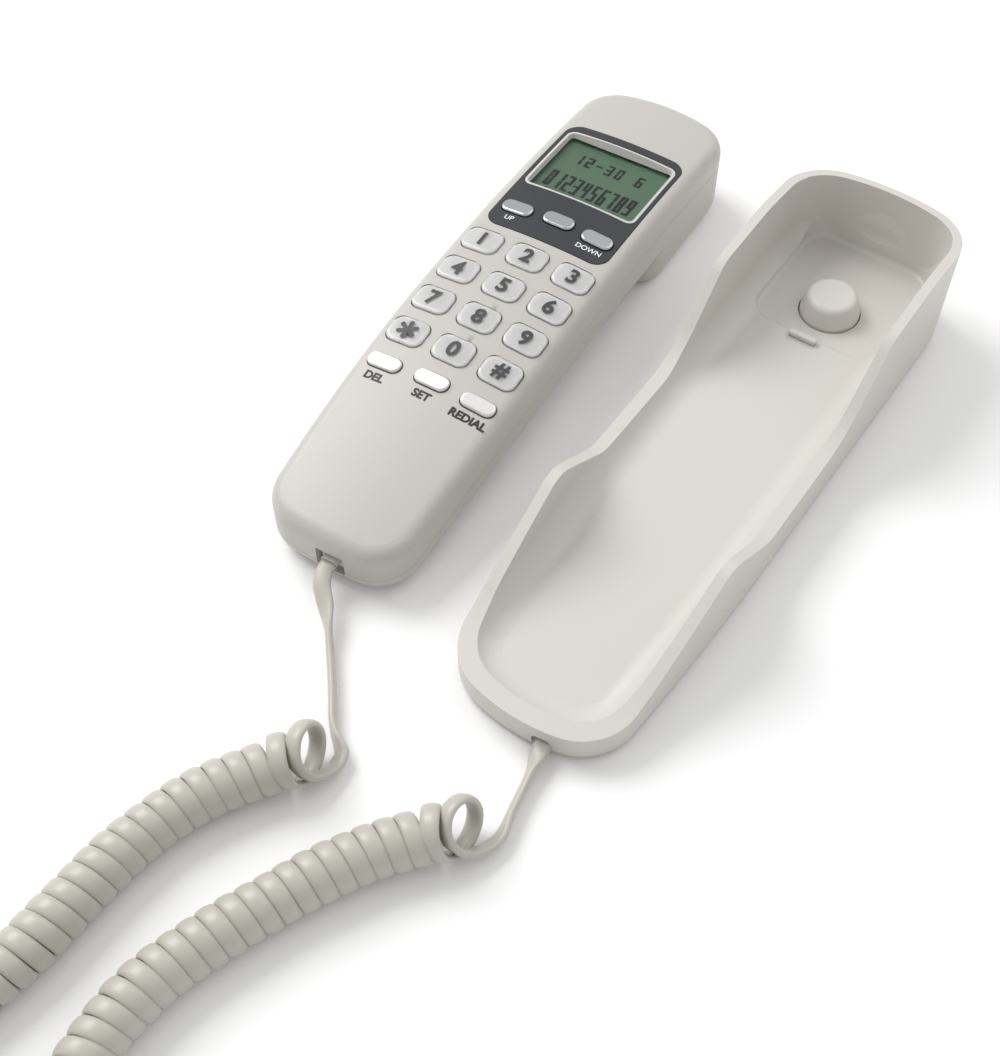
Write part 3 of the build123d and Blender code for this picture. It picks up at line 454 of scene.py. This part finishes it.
# ---------------------------------------------------------------- handset's face
HANDSET_ORIGIN = Vector((-79.9, 17.7, 0)) * MM
HANDSET_YAW = radians(3.7)
handset_matrix = Matrix.Translation(HANDSET_ORIGIN) @ Matrix.Rotation(HANDSET_YAW, 4, "Z")
ARCH_RADIUS = 590.0
ARCH_APEX_V = 15.5
ARCH_TOP = 32.5
CROWN_RADIUS = 180.0
KEY_PITCH_U = 16.0
KEY_PITCH_V = 14.05
SCREEN_V = 46.4
TRAY_SIZE = (11.7, 8.9)
TRAY_CORNER = 2.7
TRAY_LEVELS = (-2.9, 0.35)
KEY_TOP = 1.13
DIGIT_HEIGHT = 5.4
STAR_HEIGHT = 10.5


def face_matrix(u, v, lift=0.0):
    """Frame that touches the handset's face at (u, v), in metres, lifted by lift millimetres."""
    lean_side = u / CROWN_RADIUS
    lean_along = (v - ARCH_APEX_V) / ARCH_RADIUS
    height = ARCH_TOP - ARCH_RADIUS + sqrt(ARCH_RADIUS**2 - (v - ARCH_APEX_V) ** 2)
    height -= CROWN_RADIUS * (1 - cos(lean_side))
    across = Vector((cos(lean_side), 0, -sin(lean_side)))
    normal = Vector((sin(lean_side), sin(lean_along), cos(lean_side) * cos(lean_along))).normalized()
    along = normal.cross(across)
    place = Vector((u, v, height)) + normal * lift
    local = Matrix((
        (across.x, along.x, normal.x, place.x * MM),
        (across.y, along.y, normal.y, place.y * MM),
        (across.z, along.z, normal.z, place.z * MM),
        (0, 0, 0, 1),
    ))
    return handset_matrix @ local


def text_piece(name, words, height, matrix, material, body, bold=0.0):
    """Printed words as a thin mesh, centred on the matrix."""
    curve = bpy.data.curves.new(name, "FONT")
    curve.body = words
    curve.align_x = "CENTER"
    curve.align_y = "CENTER"
    curve.size = height * 1.38 * MM
    curve.extrude = 0.02 * MM
    curve.offset = bold * MM
    curve.resolution_u = 6
    holder = link(bpy.data.objects.new(name, curve))
    bpy.context.view_layer.update()
    graph = bpy.context.evaluated_depsgraph_get()
    mesh = bpy.data.meshes.new_from_object(holder.evaluated_get(graph))
    bpy.data.objects.remove(holder)
    low = min(vertex.co.y for vertex in mesh.vertices)
    high = max(vertex.co.y for vertex in mesh.vertices)
    left = min(vertex.co.x for vertex in mesh.vertices)
    right = max(vertex.co.x for vertex in mesh.vertices)
    middle = Vector(((left + right) / 2, (low + high) / 2, 0))
    for vertex in mesh.vertices:
        vertex.co = matrix @ (vertex.co - middle)
    mesh.materials.clear()
    mesh.materials.append(material)
    piece = link(bpy.data.objects.new(name, mesh))
    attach(piece, body)
    return piece


def rounded_block(name, size, corner, heights, matrix, material, body, soft=0.5):
    """Block with a rounded plan and a softened top edge, between two heights in millimetres."""
    width, length = size
    low, high = heights
    levels = [(low, 0.0), (high - soft, 0.0)]
    for step in range(1, 5):
        angle = pi / 2 * step / 4
        levels.append((high - soft + soft * sin(angle), soft * (1 - cos(angle))))
    vertices = []
    for level, inset in levels:
        for quarter, sign in enumerate(((1, 1), (-1, 1), (-1, -1), (1, -1))):
            for step in range(7):
                angle = pi / 2 * (quarter + step / 6)
                x = sign[0] * (width / 2 - corner) + (corner - inset) * cos(angle)
                y = sign[1] * (length / 2 - corner) + (corner - inset) * sin(angle)
                vertices.append(matrix @ Vector((x * MM, y * MM, level * MM)))
    ring = 28
    faces = [tuple(reversed(range(ring)))]
    for level in range(len(levels) - 1):
        for step in range(ring):
            after = (step + 1) % ring
            base = level * ring
            faces.append((base + step, base + after, base + ring + after, base + ring + step))
    faces.append(tuple(range(len(vertices) - ring, len(vertices))))
    piece = mesh_object(name, vertices, faces, material)
    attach(piece, body)
    return piece


KEY_TEXT = ["1", "2", "3", "4", "5", "6", "7", "8", "9", "*", "0", "#"]
KEY_NODES = ["1", "2", "3", "4", "5", "6", "7", "8", "9", "star", "0", "hash"]
for index, (words, node_end) in enumerate(zip(KEY_TEXT, KEY_NODES)):
    key_u = (index % 3 - 1) * KEY_PITCH_U
    key_v = -(index // 3) * KEY_PITCH_V
    body = "key_" + node_end + "_body"
    matrix = face_matrix(key_u, key_v)
    tray_name = "key_tray_" + node_end
    tray = rounded_block(tray_name, TRAY_SIZE, TRAY_CORNER, TRAY_LEVELS, matrix, key_white, body)
    tall = STAR_HEIGHT if words == "*" else DIGIT_HEIGHT
    on_top = matrix @ Matrix.Translation((0, 0, KEY_TOP * MM))
    text_piece("key_print_" + node_end, words, tall, on_top, ink_key, body, bold=0.26)

# words, place across and along the face, lift above it, height, ink, boldness
labels = [
    ("DEL", -15.8, -60.6, 0.03, 2.7, ink_dark, 0.15),
    ("SET", 0.2, -60.0, 0.03, 2.7, ink_dark, 0.15),
    ("REDIAL", 16.2, -60.4, 0.03, 2.7, ink_dark, 0.15),
    ("UP", -14.2, 12.9, 0.18, 1.9, ink_white, 0.03),
    ("DOWN", 14.0, 13.1, 0.18, 1.9, ink_white, 0.03),
]
for words, label_u, label_v, lift, tall, ink, bold in labels:
    place = face_matrix(label_u, label_v, lift)
    text_piece("label_" + words.lower(), words, tall, place, ink, "handset", bold=bold)

# ---------------------------------------------------------------- display digits
SEGMENTS = {
    "0": "abcdef", "1": "bc", "2": "abged", "3": "abgcd", "4": "fgbc", "5": "afgcd",
    "6": "afgedc", "7": "abc", "8": "abcdefg", "9": "abcdfg", "-": "g", " ": "",
}


def segment_digit(character, left, low, width, height, thick):
    """Corner lists of the bars of one seven-segment digit."""
    middle = low + height / 2
    right = left + width
    top = low + height
    gap = thick * 0.15
    bars = {
        "a": (left, top - thick, right, top),
        "g": (left, middle - thick / 2, right, middle + thick / 2),
        "d": (left, low, right, low + thick),
        "f": (left, middle + gap, left + thick, top - gap),
        "b": (right - thick, middle + gap, right, top - gap),
        "e": (left, low + gap, left + thick, middle - gap),
        "c": (right - thick, low + gap, right, middle - gap),
    }
    return [bars[letter] for letter in SEGMENTS[character]]


DIGIT_LEVEL = -4.02
screen_matrix = face_matrix(0, SCREEN_V)
bars = []
# characters, left edge, pitch, foot, height and bar thickness of each row, in millimetres
rows = [("12-30 6", -12.5, 3.7, 4.2, 5.4, 0.9), ("0123456789", -15.9, 3.2, -10.4, 8.4, 1.05)]
for characters, first_left, pitch, foot, tall, thick in rows:
    for index, character in enumerate(characters):
        bars += segment_digit(character, first_left + index * pitch, foot, 2.4, tall, thick)
digit_vertices = []
digit_faces = []
for left, low, right, top in bars:
    base = len(digit_vertices)
    for x, y in ((left, low), (right, low), (right, top), (left, top)):
        digit_vertices.append(screen_matrix @ Vector((x * MM, y * MM, DIGIT_LEVEL * MM)))
    digit_faces.append((base, base + 1, base + 2, base + 3))
digits = mesh_object("display_digits", digit_vertices, digit_faces, segments_ink, smooth=False)
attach(digits, "handset")

# ---------------------------------------------------------------- studio
LIGHT_AIM = (-0.03, -0.02, 0)
KEY_POWER = 17
FILL_POWER = 4
WORLD_STRENGTH = 0.64

paper, paper_shader = new_material("paper")
paper_shader.inputs["Base Color"].default_value = (0.95, 0.95, 0.95, 1)
paper_shader.inputs["Roughness"].default_value = 0.9
floor = mesh_object(
    "floor", [(-3, -3, 0), (3, -3, 0), (3, 3, 0), (-3, 3, 0)], [(0, 1, 2, 3)], paper, smooth=False
)


def soft_light(name, place, aim, width, power):
    """Large square light."""
    light = bpy.data.lights.new(name, "AREA")
    light.shape = "SQUARE"
    light.size = width
    light.energy = power
    lamp = link(bpy.data.objects.new(name, light))
    lamp.location = place
    lamp.rotation_euler = (Vector(aim) - Vector(place)).to_track_quat("-Z", "Y").to_euler()


soft_light("key_light", (-1.1, 0.1, 1.1), LIGHT_AIM, 0.9, KEY_POWER)
soft_light("fill_light", (0.3, 0.9, 1.2), LIGHT_AIM, 1.2, FILL_POWER)
world = bpy.data.worlds.new("world")
world.use_nodes = True
world.node_tree.nodes["Background"].inputs["Color"].default_value = (1, 1, 1, 1)
world.node_tree.nodes["Background"].inputs["Strength"].default_value = WORLD_STRENGTH
bpy.context.scene.world = world

# The pale plastics keep their own tones: the default view transform greys them.
bpy.context.scene.view_settings.view_transform = "Standard"
